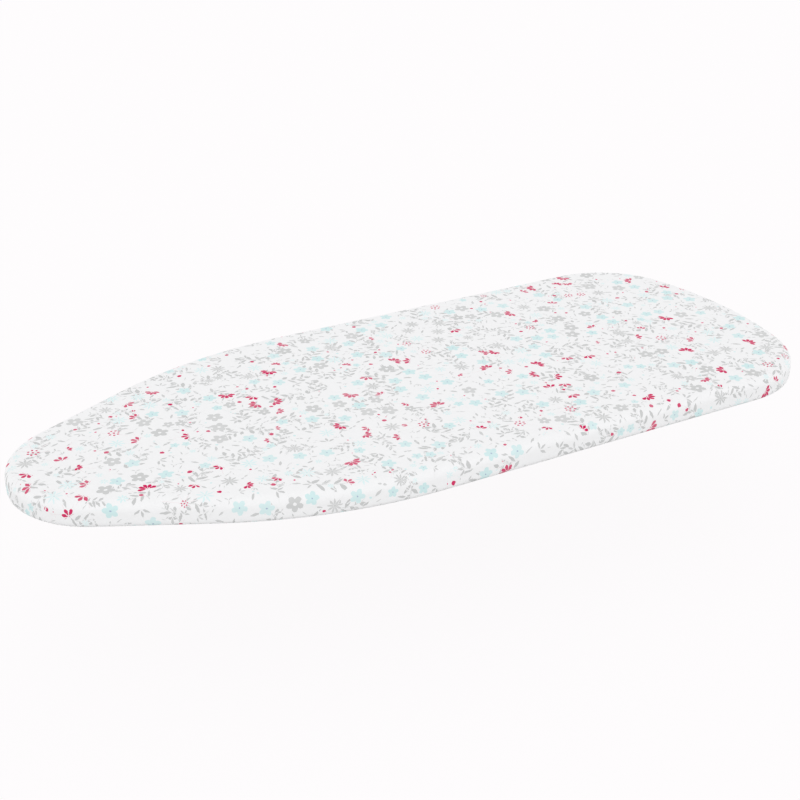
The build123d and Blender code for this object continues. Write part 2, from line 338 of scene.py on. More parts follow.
@dataclass(frozen=True)
class Motif:
    """A flower, leaf, dot or fan drawn as petals round a point, in a circle of radius 1.

    Attributes:
        share: How many of the layer's motifs it is, against the other motifs' shares.
        petals: How many petals go all the way round.
        middle: How far out a petal's middle lies.
        reach: Half a petal's length.
        width: Half a petal's width.
        taper: 0.5 for a round petal, 1 for a pointed one.
        spread: How far either side of its axis the petals go, in degrees. 180 is all the way round.
        ink: The petals' ink.
        eye: The ink of the dot in its middle.
        eye_size: The dot's radius, or 0 for none.
        size: The motif's radius as a share of the room it has.
        skew: How much wider a petal is at its outer end, from 0 for the same at both ends.
    """

    share: float
    petals: int
    middle: float
    reach: float
    width: float
    taper: float
    spread: float
    ink: Ink
    eye: Ink = Ink.BARE
    eye_size: float = 0.0
    size: float = 1.0
    skew: float = 0.0


@dataclass(frozen=True)
class PrintLayer:
    """Motifs scattered over the cloth so that none touches another of its layer.

    Attributes:
        cell: About how far apart the motifs are.
        jitter: How far they stray from even rows, from 0 to 1.
        turn: The rows' direction, in degrees.
        largest: The largest motif's radius.
        fill: How much of the free room round its point a motif takes.
        shift: Where the rows start.
        motifs: What is drawn.
        drift: How far apart patches of the same motif are.
        free: How much a motif's kind differs from its neighbours', from 0 to 1.
        overlap: How much of a motif's radius has to be clear of the layers above.
    """

    cell: float
    jitter: float
    turn: float
    largest: float
    fill: float
    shift: tuple[float, float, float]
    motifs: tuple[Motif, ...] = ()
    drift: float = 70.0
    free: float = 0.5
    overlap: float = 0.9

    def frame(self, shader: Shader, point: Any, back: bool = False) -> bpy.types.Node:
        """Turns a point of the cloth into the layer's own rows, or back."""
        values = {"Vector": point, "Location": self.shift, "Rotation": (0.0, 0.0, math.radians(self.turn))}
        return shader.add("Mapping", values, vector_type="TEXTURE" if back else "POINT")

    def nearest(self, shader: Shader, own: Any) -> tuple[bpy.types.Node, bpy.types.Node]:
        """Finds the motif nearest to a point in the layer's rows.

        Args:
            shader: The material being made.
            own: The point.

        Returns:
            The Voronoi node, and the node that gives the motif's radius in millimetres.
        """
        common = {"Vector": own, "Scale": 1 / self.cell, "Randomness": self.jitter}
        near = shader.add("TexVoronoi", common, voronoi_dimensions="2D", feature="F1")
        room = shader.add("TexVoronoi", common, voronoi_dimensions="2D", feature="N_SPHERE_RADIUS")
        radius = shader.add("Math", [room.outputs["Radius"], self.cell * self.fill], operation="MULTIPLY")
        radius = shader.add("Math", [radius, self.largest], operation="MINIMUM")
        return near, radius

    def lookup(self, shader: Shader, chance: Any, values: Callable[[Motif], tuple]) -> bpy.types.Node:
        """A table that turns the motif's random number into a value for its kind.

        Args:
            shader: The material being made.
            chance: The motif's random number, from 0 to 1.
            values: Gives the value for one kind of motif, as a colour.

        Returns:
            The colour ramp.
        """
        total = sum(m.share for m in self.motifs)
        stops = []
        start = 0.0
        for motif in self.motifs:
            stops.append((start / total, values(motif)))
            start += motif.share
        return shader.add("ValToRGB", [chance], stops=stops)

    def draw(self, shader: Shader, point: Any, ground: Any, clear_of: tuple["PrintLayer", ...]) -> Any:
        """Prints the layer over a ground colour.

        Args:
            shader: The material being made.
            point: The place on the cloth, in millimetres.
            ground: The colour to print on.
            clear_of: Layers whose motifs this layer keeps clear of.

        Returns:
            The colour.
        """
        add = shader.add
        own = self.frame(shader, point)
        near, room = self.nearest(shader, own)
        draws = add("SeparateColor", [near.outputs["Color"]])
        # Neighbours tend to be the same flower: most of the choice follows a slow drift over the cloth.
        patch = {"Vector": near.outputs["Position"], "Scale": 1 / self.drift}
        drift = add("TexNoise", patch, noise_dimensions="2D")
        chance = add("Math", [draws.outputs["Green"], self.free], operation="MULTIPLY")
        chance = add("Math", [drift, 3.0 * (1 - self.free), chance], operation="MULTIPLY_ADD")
        chance = add("Math", [chance], operation="FRACT")
        petal = self.lookup(shader, chance, lambda m: (m.petals / MOST_PETALS, m.middle, m.reach, m.skew))
        shape = add("SeparateColor", [petal])
        form = self.lookup(shader, chance, lambda m: (m.width, m.taper, m.spread / 180, m.eye_size))
        outline = add("SeparateColor", [form])
        size = self.lookup(shader, chance, lambda m: (m.size, m.size, m.size, 1))
        radius = add("Math", [room, size], operation="MULTIPLY")
        local = centred(shader, own, near, radius, draws.outputs["Red"])
        axes = add("SeparateXYZ", [local])
        far = add("VectorMath", [local], operation="LENGTH").outputs["Value"]
        angle = add("Math", [axes.outputs["Y"], axes.outputs["X"]], operation="ARCTAN2")
        # The angle is folded so that every petal is drawn as the one that lies along X.
        petals = add("Math", [shape.outputs["Red"], float(MOST_PETALS)], operation="MULTIPLY")
        petals = add("Math", [petals], operation="ROUND")
        turns = add("Math", [angle, 1 / (2 * math.pi)], operation="MULTIPLY")
        turns = add("Math", [turns, petals], operation="MULTIPLY")
        whole = add("Math", [turns], operation="ROUND")
        part = add("Math", [turns, whole], operation="SUBTRACT")
        part = add("Math", [part, petals], operation="DIVIDE")
        part = add("Math", [part, 2 * math.pi], operation="MULTIPLY")
        along = add("Math", [add("Math", [part], operation="COSINE"), far], operation="MULTIPLY")
        across = add("Math", [add("Math", [part], operation="SINE"), far], operation="MULTIPLY")
        place = add("Math", [along, shape.outputs["Green"]], operation="SUBTRACT")
        place = add("Math", [place, shape.outputs["Blue"]], operation="DIVIDE")
        wide = almond(shader, place, outline.outputs["Green"])
        swell = add("Math", [place, petal.outputs["Alpha"], 1.0], operation="MULTIPLY_ADD")
        wide = add("Math", [wide, swell], operation="MULTIPLY")
        depth = add("Math", [wide, outline.outputs["Red"]], operation="MULTIPLY")
        depth = add("Math", [depth, add("Math", [across], operation="ABSOLUTE")], operation="SUBTRACT")
        sharp = add("Math", [radius, EDGES_PER_MM], operation="MULTIPLY")
        limit = add("Math", [outline.outputs["Blue"], math.pi], operation="MULTIPLY")
        swing = add("Math", [angle], operation="ABSOLUTE")
        here = add("Math", [swing, limit], operation="LESS_THAN")
        for other in clear_of:
            cloth = self.frame(shader, near.outputs["Position"], back=True)
            neighbour, reach = other.nearest(shader, other.frame(shader, cloth))
            gap = add("Math", [neighbour.outputs["Distance"], other.cell], operation="MULTIPLY")
            gap = add("Math", [gap, reach], operation="SUBTRACT")
            near_enough = add("Math", [radius, self.overlap], operation="MULTIPLY")
            clear = add("Math", [gap, near_enough], operation="GREATER_THAN")
            here = add("Math", [here, clear], operation="MULTIPLY")
        dot = add("Math", [form.outputs["Alpha"], far], operation="SUBTRACT")
        dot = add("Math", [dot, sharp, 0.3], operation="MULTIPLY_ADD", use_clamp=True)
        dot = add("Math", [dot, here], operation="MULTIPLY")
        # A motif takes from 82% of the ink to all of it.
        weight = add("Math", [draws.outputs["Blue"], 0.2, 0.82], operation="MULTIPLY_ADD")
        ink = self.lookup(shader, chance, lambda m: linear(m.ink.value))
        eye = self.lookup(shader, chance, lambda m: linear(m.eye.value))
        colour = printed(shader, ground, ink.outputs[0], depth, sharp, (here, weight))
        return add("Mix", {0: dot.outputs[0], 6: colour, 7: eye.outputs[0]}, data_type="RGBA").outputs[2]


def centred(shader: Shader, own: Any, near: bpy.types.Node, radius: Any, turn: Any) -> bpy.types.Node:
    """Moves a point into a motif's own axes, where its circle has a radius of 1.

    Args:
        shader: The material being made.
        own: The point in the layer's rows.
        near: The Voronoi node that found the motif.
        radius: The motif's radius.
        turn: A random number that turns the motif.

    Returns:
        The point.
    """
    local = shader.add("VectorMath", [own, near.outputs["Position"]], operation="SUBTRACT")
    grow = shader.add("Math", [1.0, radius], operation="DIVIDE")
    local = shader.add("VectorMath", {0: local, "Scale": grow.outputs[0]}, operation="SCALE")
    angle = shader.add("Math", [turn, 2 * math.pi], operation="MULTIPLY")
    return shader.add("VectorRotate", {"Vector": local, "Angle": angle.outputs[0]}, rotation_type="Z_AXIS")


def almond(shader: Shader, place: Any, taper: Any) -> bpy.types.Node:
    """The half width of a petal or leaf, which falls from 1 in its middle to nothing at both ends.

    Args:
        shader: The material being made.
        place: From -1 at its foot to 1 at its tip.
        taper: 0.5 for round ends, 1 for pointed ones.

    Returns:
        The half width.
    """
    square = shader.add("Math", [place, place], operation="MULTIPLY")
    left = shader.add("Math", [1.0, square], operation="SUBTRACT")
    left = shader.add("Math", [left, 0.0], operation="MAXIMUM")
    return shader.add("Math", [left, taper], operation="POWER")


def printed(shader: Shader, ground: Any, ink: Any, depth: Any, sharp: Any, weights: tuple) -> Any:
    """Prints a shape in ink, with a bare margin of about half a millimetre that keeps it off its neighbours.

    Args:
        shader: The material being made.
        ground: The colour to print on.
        ink: The ink.
        depth: How far inside the shape the point is, and less than 0 outside it.
        sharp: How many times the depth goes into the soft edge of the ink.
        weights: Numbers from 0 to 1 that thin the ink. The first says whether the shape is there at all.

    Returns:
        The colour.
    """
    add = shader.add
    margin = add("Math", [depth, sharp, 2.6], operation="MULTIPLY_ADD", use_clamp=True)
    margin = add("Math", [margin, weights[0]], operation="MULTIPLY")
    bare = add("Mix", {0: margin.outputs[0], 6: ground, 7: linear(Ink.BARE.value)}, data_type="RGBA")
    inked = add("Math", [depth, sharp, 0.5], operation="MULTIPLY_ADD", use_clamp=True)
    for weight in weights:
        inked = add("Math", [inked, weight], operation="MULTIPLY")
    return add("Mix", {0: inked.outputs[0], 6: bare.outputs[2], 7: ink}, data_type="RGBA").outputs[2]


@dataclass(frozen=True)
class SprigLayer(PrintLayer):
    """Curved stems with slanted leaves on both sides by turns.

    The lengths are shares of a sprig's radius.

    Attributes:
        spacing: The distance between two leaves on a side.
        leaf: A leaf's length.
        leaf_width: Half a leaf's width.
        slant: The angle between a leaf and its stem, in degrees.
        stem: Half the stem's width.
        bow: How far the end of the most bent stem bends aside.
        pairs: How many leaves a side has.
        share: How many of the places have a sprig, from 0 to 1.
        leaf_ink: The leaves' ink.
        stem_ink: The stems' ink.
    """

    spacing: float = 0.66
    leaf: float = 0.76
    leaf_width: float = 0.125
    slant: float = 48.0
    stem: float = 0.026
    bow: float = 0.65
    pairs: int = 3
    share: float = 1.0
    leaf_ink: Ink = Ink.STONE_GREY
    stem_ink: Ink = Ink.STEM_GREY

    def draw(self, shader: Shader, point: Any, ground: Any, clear_of: tuple["PrintLayer", ...]) -> Any:
        """Prints the sprigs over a ground colour.

        Args:
            shader: The material being made.
            point: The place on the cloth, in millimetres.
            ground: The colour to print on.
            clear_of: Not used: sprigs run under the other layers.

        Returns:
            The colour.
        """
        add = shader.add
        own = self.frame(shader, point)
        near, radius = self.nearest(shader, own)
        draws = add("SeparateColor", [near.outputs["Color"]])
        axes = add("SeparateXYZ", [centred(shader, own, near, radius, draws.outputs["Red"])])
        x, y = axes.outputs["X"], axes.outputs["Y"]
        # The stem is a parabola that bends to either side by its own random amount.
        bend = add("Math", [draws.outputs["Green"], 2 * self.bow, -self.bow], operation="MULTIPLY_ADD")
        arch = add("Math", [add("Math", [x, x], operation="MULTIPLY"), 0.35], operation="SUBTRACT")
        arch = add("Math", [arch, bend], operation="MULTIPLY")
        y = add("Math", [y, arch], operation="SUBTRACT")
        off = add("Math", [y], operation="ABSOLUTE")
        sharp = add("Math", [radius, EDGES_PER_MM], operation="MULTIPLY")
        rod = add("Math", [almond(shader, x, 0.4), self.stem], operation="MULTIPLY")
        rod = add("Math", [rod, off], operation="SUBTRACT")
        # Leaves on one side stand halfway between those on the other, and point at the tip.
        side = add("Math", [y], operation="SIGN")
        row = add("Math", [side, self.spacing / 4, x], operation="MULTIPLY_ADD")
        row = add("Math", [row, 1 / self.spacing], operation="MULTIPLY")
        number = add("Math", [row], operation="ROUND")
        foot = add("Math", [row, number], operation="SUBTRACT")
        foot = add("Math", [foot, self.spacing, 0.36 * self.spacing], operation="MULTIPLY_ADD")
        cosine, sine = math.cos(math.radians(self.slant)), math.sin(math.radians(self.slant))
        forward = add("Math", [foot, cosine], operation="MULTIPLY")
        along = add("Math", [off, sine, forward], operation="MULTIPLY_ADD")
        aside = add("Math", [foot, -sine], operation="MULTIPLY")
        across = add("Math", [off, cosine, aside], operation="MULTIPLY_ADD")
        place = add("Math", [along, 2 / self.leaf, -1.0], operation="MULTIPLY_ADD")
        blade = add("Math", [almond(shader, place, 0.85), self.leaf_width], operation="MULTIPLY")
        blade = add("Math", [blade, add("Math", [across], operation="ABSOLUTE")], operation="SUBTRACT")
        grown = add("Math", [number], operation="ABSOLUTE")
        grown = add("Math", [grown, self.pairs / 2], operation="LESS_THAN")
        there = add("Math", [draws.outputs["Blue"], self.share], operation="LESS_THAN")
        grown = add("Math", [grown, there], operation="MULTIPLY")
        colour = printed(shader, ground, linear(self.stem_ink.value), rod, sharp, (there,))
        return printed(shader, colour, linear(self.leaf_ink.value), blade, sharp, (grown,))


@dataclass(frozen=True)
class PrintedCotton:
    """Plain-woven white cotton, screen printed with a ditsy floral: matt, with soft-edged flat inks.

    Attributes:
        thread: The spacing of the threads. Sheeting has about 0.4 mm, too fine to show at this size, so the
            weave is drawn about twice as coarse.
        wander: How far the hand-drawn outlines stray from true curves.
        waves: How many waves an outline has to a millimetre.
        slubs: How many thick stretches of thread there are to a millimetre, along a thread and across it.
        relief: The height of the weave.
    """

    thread: float = 0.85
    wander: float = 1.1
    waves: float = 0.45
    slubs: tuple[float, float] = (0.12, 1.3)
    relief: float = 0.12

    def layers(self) -> tuple[PrintLayer, ...]:
        """The print's layers, from the main flowers down to the sprigs that run under everything."""
        flowers = PrintLayer(
            cell=21.0,
            jitter=0.75,
            turn=17.0,
            largest=7.6,
            fill=1.0,
            shift=(3.0, 7.0, 0.0),
            motifs=(
                Motif(0.14, 5, 0.52, 0.46, 0.34, 0.42, 180, Ink.AQUA, Ink.SLATE_BLUE, 0.11, 0.86),
                Motif(0.05, 9, 0.58, 0.42, 0.19, 0.70, 104, Ink.CRIMSON, Ink.CRIMSON, 0.09, 1.0, 0.55),
                Motif(0.24, 5, 0.56, 0.42, 0.34, 0.42, 180, Ink.MIST_GREY, Ink.BARE, 0.20),
                Motif(0.12, 7, 0.60, 0.15, 0.14, 0.50, 180, Ink.CRIMSON, Ink.CRIMSON, 0.16, 0.9),
                Motif(0.10, 9, 0.55, 0.42, 0.12, 0.60, 180, Ink.MIST_GREY, Ink.MIST_GREY, 0.14),
                Motif(0.07, 8, 0.55, 0.40, 0.10, 0.60, 180, Ink.PALE_AQUA, Ink.AQUA, 0.12),
                Motif(0.06, 7, 0.58, 0.42, 0.20, 0.75, 88, Ink.CRIMSON, Ink.CRIMSON, 0.09, 0.95, 0.5),
                Motif(0.10, 6, 0.55, 0.42, 0.13, 0.90, 92, Ink.STONE_GREY, Ink.BARE, 0.0),
            ),
        )
        leaves = PrintLayer(
            cell=9.8,
            jitter=0.72,
            turn=-31.0,
            largest=4.9,
            fill=1.0,
            shift=(1.0, 4.0, 0.0),
            free=1.0,
            overlap=0.55,
            motifs=(
                Motif(0.38, 1, 0.0, 0.98, 0.29, 0.85, 180, Ink.STONE_GREY),
                Motif(0.14, 2, 0.52, 0.46, 0.20, 0.90, 180, Ink.MIST_GREY),
                Motif(0.10, 3, 0.52, 0.46, 0.18, 0.90, 125, Ink.STONE_GREY),
                Motif(0.09, 7, 0.52, 0.44, 0.13, 0.80, 92, Ink.STEM_GREY),
                Motif(0.09, 7, 0.55, 0.40, 0.14, 0.60, 180, Ink.PALE_AQUA),
                Motif(0.08, 1, 0.0, 0.50, 0.44, 0.50, 180, Ink.CRIMSON),
                Motif(0.13, 1, 0.0, 0.95, 0.13, 0.60, 180, Ink.MIST_GREY),
            ),
        )
        fillers = PrintLayer(
            cell=6.4,
            jitter=0.75,
            turn=52.0,
            largest=3.0,
            fill=1.0,
            shift=(2.0, 1.0, 0.0),
            free=1.0,
            overlap=0.7,
            motifs=(
                Motif(0.34, 1, 0.0, 0.98, 0.32, 0.80, 180, Ink.MIST_GREY),
                Motif(0.16, 1, 0.0, 0.42, 0.40, 0.50, 180, Ink.AQUA),
                Motif(0.40, 1, 0.0, 0.98, 0.17, 0.70, 180, Ink.STEM_GREY),
                Motif(0.05, 1, 0.0, 0.42, 0.40, 0.50, 180, Ink.ROSE),
            ),
        )
        sprigs = SprigLayer(
            cell=27.0, jitter=0.6, turn=74.0, largest=13.5, fill=1.1, shift=(9.0, 5.0, 0.0), share=0.7
        )
        return (flowers, leaves, fillers, sprigs)

    def material(self) -> bpy.types.Material:
        """Makes the cloth's material: matt white that carries the print, with a faint weave and slubs."""
        shader = Shader(bpy.data.materials.new("printed_cotton"))
        add = shader.add
        cloth = add("UVMap", uv_map="cloth")
        point = add("VectorMath", {0: cloth, "Scale": 1 / MM}, operation="SCALE")
        # The noise is centred on 0, so the outlines wander both ways by a few tenths of a millimetre.
        noise = {"Vector": point, "Scale": self.waves, "Detail": 1.0}
        wander = add("TexNoise", noise, noise_dimensions="2D")
        wander = add("VectorMath", [wander.outputs["Color"], (0.5, 0.5, 0.5)], operation="SUBTRACT")
        drawn = add("VectorMath", [wander, (self.wander, self.wander, 0.0), point], operation="MULTIPLY_ADD")
        flowers, leaves, fillers, sprigs = self.layers()
        colour = sprigs.draw(shader, drawn, linear(Ink.BARE.value), ())
        colour = fillers.draw(shader, drawn, colour, (flowers, leaves))
        colour = leaves.draw(shader, drawn, colour, (flowers,))
        colour = flowers.draw(shader, drawn, colour, ())
        # Slubs lie along both ways of the weave.
        slub_x = add("Mapping", {"Vector": point, "Scale": (*self.slubs, 1.0)})
        slub_y = add("Mapping", {"Vector": point, "Scale": (*self.slubs[::-1], 1.0)})
        first = add("TexNoise", {"Vector": slub_x, "Scale": 1.0, "Detail": 2.0}, noise_dimensions="2D")
        second = add("TexNoise", {"Vector": slub_y, "Scale": 1.0, "Detail": 2.0}, noise_dimensions="2D")
        slubs = add("Math", [first, second], operation="ADD")
        shade = add("Math", [slubs, 0.05, 0.95], operation="MULTIPLY_ADD")
        colour = add("VectorMath", {0: colour, "Scale": shade.outputs[0]}, operation="SCALE")
        # Warp and weft cross over and under: a product of two sines.
        axes = add("SeparateXYZ", [point])
        beat = math.pi / self.thread
        warp = add("Math", [add("Math", [axes.outputs["X"], beat], operation="MULTIPLY")], operation="SINE")
        weft = add("Math", [add("Math", [axes.outputs["Y"], beat], operation="MULTIPLY")], operation="SINE")
        weave = add("Math", [warp, weft], operation="MULTIPLY")
        height = add("Math", [weave, 0.35, slubs], operation="MULTIPLY_ADD")
        bump = add("Bump", {"Strength": 0.12, "Distance": self.relief * MM, "Height": height.outputs[0]})
        rough = add("Math", [slubs, 0.06, 0.84], operation="MULTIPLY_ADD")
        surface = add(
            "BsdfPrincipled",
            {
                "Base Color": colour.outputs[0],
                "Roughness": rough.outputs[0],
                "IOR": 1.46,
                "Specular IOR Level": 0.15,
                "Sheen Weight": 0.04,
                "Sheen Roughness": 0.5,
                "Normal": bump,
            },
        )
        return shader.finish(surface)


@dataclass(frozen=True)
class PowderCoatedSteel:
    """Mild steel, sprayed with epoxy powder and baked: a hard satin skin with a fine orange peel.

    Attributes:
        name: The material's name.
        colour: The powder's colour.
        peel: The spacing of the orange peel's bumps.
        cloud: The size of the coat's thicker and thinner patches.
    """

    name: str = "powder_coated_steel"
    colour: str = "#D9DBDC"
    peel: float = 1.6
    cloud: float = 60.0

    def material(self) -> bpy.types.Material:
        """Makes the coat's material."""
        shader = Shader(bpy.data.materials.new(self.name))
        add = shader.add
        place = add("TexCoord").outputs["Object"]
        peel = add("TexNoise", {"Vector": place, "Scale": 1 / (self.peel * MM), "Detail": 2.0})
        cloud = add("TexNoise", {"Vector": place, "Scale": 1 / (self.cloud * MM), "Detail": 3.0})
        low = linear(self.colour, 0.93)
        tint = add("Mix", {0: cloud.outputs[0], 6: low, 7: linear(self.colour)}, data_type="RGBA")
        rough = add("Math", [peel, 0.12, 0.34], operation="MULTIPLY_ADD")
        bump = add("Bump", {"Strength": 0.25, "Distance": 0.00008, "Height": peel.outputs[0]})
        values = {
            "Base Color": tint.outputs[2],
            "Roughness": rough.outputs[0],
            "IOR": 1.5,
            "Coat Weight": 0.25,
            "Coat Roughness": 0.2,
            "Normal": bump,
        }
        return shader.finish(add("BsdfPrincipled", values))


@dataclass(frozen=True)
class ZincPlatedSteel:
    """Pressed steel with bright zinc plating: silvery, and patchy where crystals catch the light.

    Attributes:
        name: The material's name.
        colour: The zinc.
        grain: The spacing of the plating's grain.
        crystal: The size of a crystal.
    """

    name: str = "zinc_plated_steel"
    colour: str = "#C4C7C9"
    grain: float = 0.5
    crystal: float = 2.5

    def material(self) -> bpy.types.Material:
        """Makes the plating's material."""
        shader = Shader(bpy.data.materials.new(self.name))
        add = shader.add
        place = add("TexCoord").outputs["Object"]
        grain = add("TexNoise", {"Vector": place, "Scale": 1 / (self.grain * MM), "Detail": 4.0})
        crystals = add("TexVoronoi", {"Vector": place, "Scale": 1 / (self.crystal * MM)}, feature="F1")
        shade = add("SeparateColor", [crystals.outputs["Color"]]).outputs["Red"]
        low = linear(self.colour, 0.85)
        tint = add("Mix", {0: shade, 6: low, 7: linear(self.colour)}, data_type="RGBA")
        rough = add("Math", [grain, 0.2, 0.24], operation="MULTIPLY_ADD")
        bump = add("Bump", {"Strength": 0.2, "Distance": 0.00003, "Height": grain.outputs[0]})
        values = {
            "Base Color": tint.outputs[2],
            "Metallic": 1.0,
            "Roughness": rough.outputs[0],
            "Normal": bump,
        }
        return shader.finish(add("BsdfPrincipled", values))


@dataclass(frozen=True)
class HeadedSteel:
    """Cold-headed steel rivets: bright, with uneven small marks where the die pressed them.

    Attributes:
        name: The material's name.
        colour: The steel.
        mark: The spacing of the marks.
    """

    name: str = "headed_steel"
    colour: str = "#D4D3D0"
    mark: float = 0.4

    def material(self) -> bpy.types.Material:
        """Makes the rivets' material."""
        shader = Shader(bpy.data.materials.new(self.name))
        add = shader.add
        place = add("TexCoord").outputs["Object"]
        noise = {"Vector": place, "Scale": 1 / (self.mark * MM), "Detail": 3.0, "Distortion": 0.6}
        marks = add("TexNoise", noise)
        rough = add("Math", [marks, 0.18, 0.16], operation="MULTIPLY_ADD")
        bump = add("Bump", {"Strength": 0.2, "Distance": 0.00002, "Height": marks.outputs[0]})
        low = linear(self.colour, 0.9)
        tint = add("Mix", {0: marks.outputs[0], 6: low, 7: linear(self.colour)}, data_type="RGBA")
        values = {
            "Base Color": tint.outputs[2],
            "Metallic": 1.0,
            "Roughness": rough.outputs[0],
            "Normal": bump,
        }
        return shader.finish(add("BsdfPrincipled", values))


@dataclass(frozen=True)
class MouldedRubber:
    """Compression-moulded natural rubber: near black and matt, with a fine grain and patches of dusty bloom.

    Attributes:
        name: The material's name.
        colour: The rubber.
        dust: The rubber under the bloom.
        grain: The spacing of the grain.
        bloom: The size of a patch of bloom.
    """

    name: str = "moulded_rubber"
    colour: str = "#3A3B3D"
    dust: str = "#4C4D50"
    grain: float = 0.7
    bloom: float = 14.0

    def material(self) -> bpy.types.Material:
        """Makes the rubber's material."""
        shader = Shader(bpy.data.materials.new(self.name))
        add = shader.add
        place = add("TexCoord").outputs["Object"]
        grain = add("TexNoise", {"Vector": place, "Scale": 1 / (self.grain * MM), "Detail": 5.0})
        bloom = add("TexNoise", {"Vector": place, "Scale": 1 / (self.bloom * MM), "Detail": 3.0})
        shades = {0: bloom.outputs[0], 6: linear(self.colour), 7: linear(self.dust)}
        tint = add("Mix", shades, data_type="RGBA")
        rough = add("Math", [bloom, 0.15, 0.66], operation="MULTIPLY_ADD")
        bump = add("Bump", {"Strength": 0.35, "Distance": 0.00008, "Height": grain.outputs[0]})
        values = {"Base Color": tint.outputs[2], "Roughness": rough.outputs[0], "IOR": 1.52, "Normal": bump}
        return shader.finish(add("BsdfPrincipled", values))


@dataclass(frozen=True)
class MouldedPlastic:
    """Injection-moulded polypropylene or nylon: slightly waxy, with the fine spark-eroded grain of its mould.

    Attributes:
        name: The material's name.
        colour: The pigment.
        grain: The spacing of the mould's grain.
        ior: 1.49 for polypropylene, 1.53 for nylon.
        flow: The size of the paler and darker patches that the flowing plastic left.
    """

    name: str
    colour: str
    grain: float
    ior: float
    flow: float = 9.0

    def material(self) -> bpy.types.Material:
        """Makes the plastic's material."""
        shader = Shader(bpy.data.materials.new(self.name))
        add = shader.add
        place = add("TexCoord").outputs["Object"]
        grain = add("TexNoise", {"Vector": place, "Scale": 1 / (self.grain * MM), "Detail": 3.0})
        flow = add("TexNoise", {"Vector": place, "Scale": 1 / (self.flow * MM), "Detail": 2.0})
        low = linear(self.colour, 0.92)
        tint = add("Mix", {0: flow.outputs[0], 6: low, 7: linear(self.colour)}, data_type="RGBA")
        rough = add("Math", [grain, 0.14, 0.38], operation="MULTIPLY_ADD")
        bump = add("Bump", {"Strength": 0.25, "Distance": 0.00004, "Height": grain.outputs[0]})
        values = {
            "Base Color": tint.outputs[2],
            "Roughness": rough.outputs[0],
            "IOR": self.ior,
            "Subsurface Weight": 0.05,
            "Subsurface Scale": 0.002,
            "Normal": bump,
        }
        return shader.finish(add("BsdfPrincipled", values))


@dataclass(frozen=True)
class CellFoam:
    """Cut polyether foam: off-white and matt, with open cells that the knife left as pits and walls, and
    painted shade in the pits.

    Attributes:
        name: The material's name.
        colour: The cells' walls.
        pit_shade: The foam inside a cell, coloured darker as painted shade.
        cell: The size of a cell.
    """

    name: str = "cell_foam"
    colour: str = "#E8E5DA"
    pit_shade: str = "#C9C3B0"
    cell: float = 0.8

    def material(self) -> bpy.types.Material:
        """Makes the foam's material."""
        shader = Shader(bpy.data.materials.new(self.name))
        add = shader.add
        place = add("TexCoord").outputs["Object"]
        spread = {"Vector": place, "Scale": 1 / (self.cell * MM)}
        cells = add("TexVoronoi", spread, feature="DISTANCE_TO_EDGE")
        # Painted shade: the foam is coloured darker towards the middle of each pit, which the bump also
        # sinks.
        pit = add("Math", [cells.outputs["Distance"], 3.0], operation="MULTIPLY", use_clamp=True)
        shades = {0: pit.outputs[0], 6: linear(self.colour), 7: linear(self.pit_shade)}
        tint = add("Mix", shades, data_type="RGBA")
        wall = add("Math", [1.0, pit], operation="SUBTRACT")
        bump = add("Bump", {"Strength": 0.6, "Distance": 0.0003, "Height": wall.outputs[0]})
        values = {"Base Color": tint.outputs[2], "Roughness": 0.95, "IOR": 1.5, "Normal": bump}
        return shader.finish(add("BsdfPrincipled", values))


@dataclass(frozen=True)
class BraidedElastic:
    """Braided polyester over rubber cores: a flat tape, pebbled all over where the yarns cross.

    Attributes:
        name: The material's name.
        colour: The yarn.
        gap_shade: The tape between the yarns, coloured darker as painted shade.
        yarn: The spacing of the crossings.
    """

    name: str = "braided_elastic"
    colour: str = "#E4E3DE"
    gap_shade: str = "#BDBBB3"
    yarn: float = 0.6

    def material(self) -> bpy.types.Material:
        """Makes the tape's material."""
        shader = Shader(bpy.data.materials.new(self.name))
        add = shader.add
        place = add("TexCoord").outputs["Object"]
        yarns = add("TexVoronoi", {"Vector": place, "Scale": 1 / (self.yarn * MM)}, feature="F1")
        # Painted shade: the tape is coloured darker away from the crossings, between the yarns.
        shades = {0: yarns.outputs["Distance"], 6: linear(self.colour), 7: linear(self.gap_shade)}
        tint = add("Mix", shades, data_type="RGBA")
        bump = add("Bump", {"Strength": 0.5, "Distance": 0.0002, "Height": yarns.outputs["Distance"]})
        values = {"Base Color": tint.outputs[2], "Roughness": 0.8, "Sheen Weight": 0.2, "Normal": bump}
        return shader.finish(add("BsdfPrincipled", values))


@dataclass(frozen=True)
class SewingThread:
    """Spun polyester thread: white, with a little sheen and a fine twist.

    Attributes:
        name: The material's name.
        colour: The thread.
        groove_shade: The thread between two turns of its twist, coloured darker as painted shade.
        twist: The length of one turn.
    """

    name: str = "sewing_thread"
    colour: str = "#F4F3EE"
    groove_shade: str = "#D8D6CC"
    twist: float = 0.99

    def material(self) -> bpy.types.Material:
        """Makes the thread's material."""
        shader = Shader(bpy.data.materials.new(self.name))
        add = shader.add
        place = add("TexCoord").outputs["Object"]
        # The wave texture's bands are pi / 10 apart at a scale of 1.
        scale = math.pi / 10 / (self.twist * MM)
        twist = add("TexWave", {"Vector": place, "Scale": scale, "Distortion": 2.0})
        # Painted shade: the thread is coloured darker in the groove between turns of its twist, which the
        # bump also sinks.
        shades = {0: twist.outputs["Fac"], 6: linear(self.groove_shade), 7: linear(self.colour)}
        tint = add("Mix", shades, data_type="RGBA")
        bump = add("Bump", {"Strength": 0.4, "Distance": 0.0001, "Height": twist.outputs["Fac"]})
        values = {"Base Color": tint.outputs[2], "Roughness": 0.6, "Sheen Weight": 0.15, "Normal": bump}
        return shader.finish(add("BsdfPrincipled", values))


# -----------------------------------------------------------------------------
# Sub-assemblies
# -----------------------------------------------------------------------------


class Body(Enum):
    """The rigid bodies of the frame."""

    BOARD = "board"
    FRONT_LEG = "front_leg_frame"
    REAR_LEG = "rear_leg_frame"


